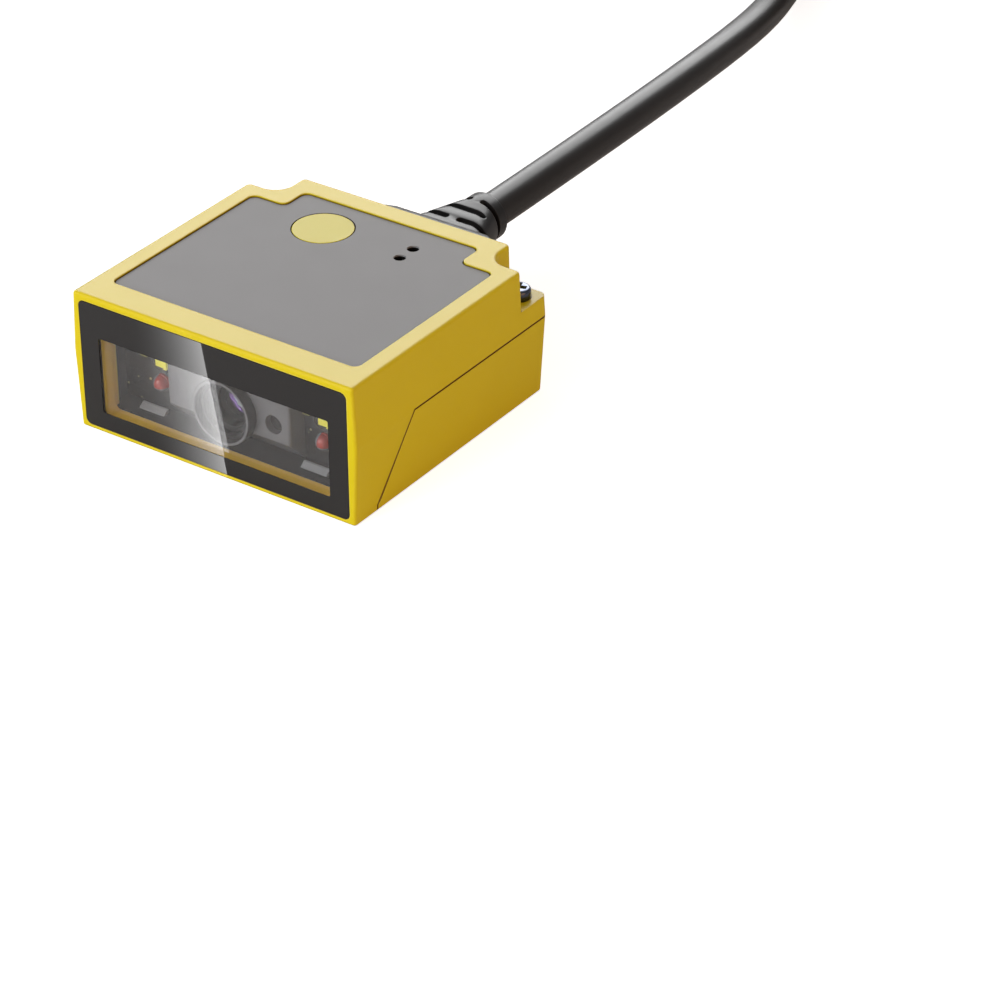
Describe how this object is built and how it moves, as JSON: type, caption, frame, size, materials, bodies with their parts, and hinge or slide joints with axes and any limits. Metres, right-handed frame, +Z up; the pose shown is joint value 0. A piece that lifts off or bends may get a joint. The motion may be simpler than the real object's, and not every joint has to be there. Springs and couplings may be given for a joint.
{
  "type": "fixed barcode reader",
  "caption": "Fixed barcode reader: compact yellow housing with a dark front window, a flush scan key, screw pockets at the rear corners and a cable through a slotted boot.",
  "frame": {"origin": "middle of the underside of the housing, on the surface that it stands on", "axes": "+X to the right when the window is looked at from the front, +Y from the window to the cable, +Z up"},
  "size_m": [0.0758, 0.2766, 0.0219],
  "materials": {
    "shell_yellow": "satin",
    "label_grey": "satin",
    "window_clear": "clear, dark",
    "print_black": "gloss",
    "foam_black": "matt",
    "shroud_black": "matt",
    "engine_grey": "satin",
    "barrel_black": "satin",
    "lens_glass": "coated",
    "lens_clear": "clear",
    "board_green": "gloss",
    "package_black": "matt",
    "sensor_dark": "gloss",
    "lamp_yellow": "gloss",
    "lamp_red": "gloss",
    "reflector_white": "gloss",
    "brass": "machined",
    "screw_black": "black oxide",
    "screw_steel": "plated",
    "cable_black": "matt",
    "relief_black": "matt",
    "plug_black": "satin",
    "plated_steel": "plated",
    "contact_gold": "plated",
    "connector_ivory": "matt",
    "core_sheath": "satin",
    "flex_amber": "gloss",
    "pipe_clear": "clear"
  },
  "bodies": {
    "reader": {"upper_shell": "shell_yellow", "lower_shell": "shell_yellow", "top_label": "label_grey", "window_pane": "window_clear", "window_mask": "print_black", "window_gasket": "foam_black", "light_shroud": "shroud_black", "engine_chassis": "engine_grey", "lens_barrel": "barrel_black", "front_lens": "lens_glass", "rear_lens": "lens_glass", "lens_spacer": "barrel_black", "lens_retainer": "barrel_black", "aimer_lens": "lens_clear", "aimer_led": "lamp_yellow", "image_sensor": "sensor_dark", "engine_board": "board_green", "engine_screws": "screw_steel", "ear_screws": "screw_steel", "flex_sockets": "connector_ivory", "engine_flex": "flex_amber", "lamp_board_left": "board_green", "lamp_board_right": "board_green", "main_lamps": "lamp_yellow", "side_lamps": "lamp_yellow", "red_lamps": "lamp_red", "reflectors": "reflector_white", "main_board": "board_green", "board_screws": "screw_steel", "key_switch": "package_black", "light_pipe": "pipe_clear", "indicator_leds": "lamp_yellow", "beeper": "package_black", "processor": "package_black", "cable_header": "connector_ivory", "cable_connector": "connector_ivory", "cable_cores": "core_sheath", "case_screw_left": "screw_black", "case_screw_right": "screw_black", "case_inserts": "brass", "mount_inserts": "brass", "strain_relief": "relief_black", "cable": "cable_black", "cable_coil": "cable_black", "cable_tail": "cable_black", "plug_body": "plug_black", "plug_shell": "plated_steel", "plug_tongue": "plug_black", "plug_contacts": "contact_gold"},
    "key": {"scan_key": "shell_yellow", "switch_plunger": "package_black"}
  },
  "joints": [
    {"name": "key_press", "type": "slide", "parent": "reader", "child": "key", "axis": [0, 0, -1], "range_m": [0, 0.0004], "stiffness_N_per_m": 4000}
  ]
}
